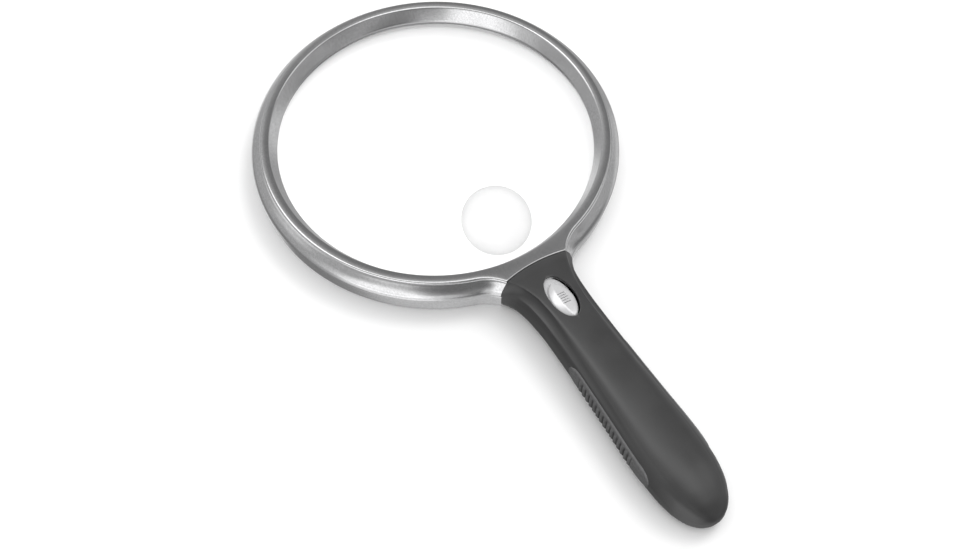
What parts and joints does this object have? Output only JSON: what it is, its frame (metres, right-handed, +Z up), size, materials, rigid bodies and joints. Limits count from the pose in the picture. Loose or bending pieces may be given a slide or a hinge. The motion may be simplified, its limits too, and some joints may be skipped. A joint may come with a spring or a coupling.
{
  "type": "low vision magnifier",
  "caption": "Large round lens in a silver frame with a stronger reading spot, on a dark battery handle with rubber grips, a slide switch and lamps beside the lens.",
  "frame": {"origin": "middle of the part's footprint, on the table it lies on; the lens centre is 61.9 mm from it along +Y", "axes": "+Z up from the table, +Y along the handle towards the lens, +X to the right, seen from above with the handle towards the viewer"},
  "size_m": [0.1614, 0.2852, 0.0209],
  "materials": {
    "satin_silver": "satin silver paint on plastic",
    "clear_plastic": "clear, polished",
    "soft_touch_charcoal": "soft-touch, fine grain",
    "grip_rubber": "matte",
    "black_rubber": "matte",
    "bright_silver": "bright silver paint on plastic",
    "nickel": "nickel plated",
    "steel_screw": "zinc plated",
    "green_board": "solder mask",
    "black_plastic": "moulded",
    "red_wire": "smooth insulation",
    "cell_jacket": "printed sleeve over a metal can",
    "lamp": "clear moulded epoxy"
  },
  "bodies": {
    "magnifier": {"battery_left": "cell_jacket", "battery_right": "cell_jacket", "board_screw_front": "steel_screw", "board_screw_rear": "steel_screw", "bridge_contact": "nickel", "bridge_spring": "nickel", "circuit_board": "green_board", "front_rim": "satin_silver", "grip_left": "grip_rubber", "grip_right": "grip_rubber", "handle_lower": "soft_touch_charcoal", "handle_screw_left": "steel_screw", "handle_screw_right": "steel_screw", "handle_upper": "soft_touch_charcoal", "led_board": "green_board", "led_left": "lamp", "led_right": "lamp", "led_window": "clear_plastic", "lens": "clear_plastic", "lens_gasket": "black_rubber", "neck_screw_left": "steel_screw", "neck_screw_right": "steel_screw", "negative_contact": "nickel", "negative_spring": "nickel", "positive_contact": "nickel", "rear_rim": "satin_silver", "resistor": "black_plastic", "switch_housing": "nickel", "wire_black": "black_rubber", "wire_red": "red_wire"},
    "switch": {"switch_slider": "bright_silver", "switch_lever": "black_plastic"},
    "door": {"battery_door": "soft_touch_charcoal"}
  },
  "joints": [
    {"name": "switch_slide", "type": "slide", "parent": "magnifier", "child": "switch", "axis": [0, 1, 0], "range_m": [0, 0.003]},
    {"name": "battery_door_slide", "type": "slide", "parent": "magnifier", "child": "door", "axis": [0, -1, 0], "range_m": [0, 0.055]}
  ]
}
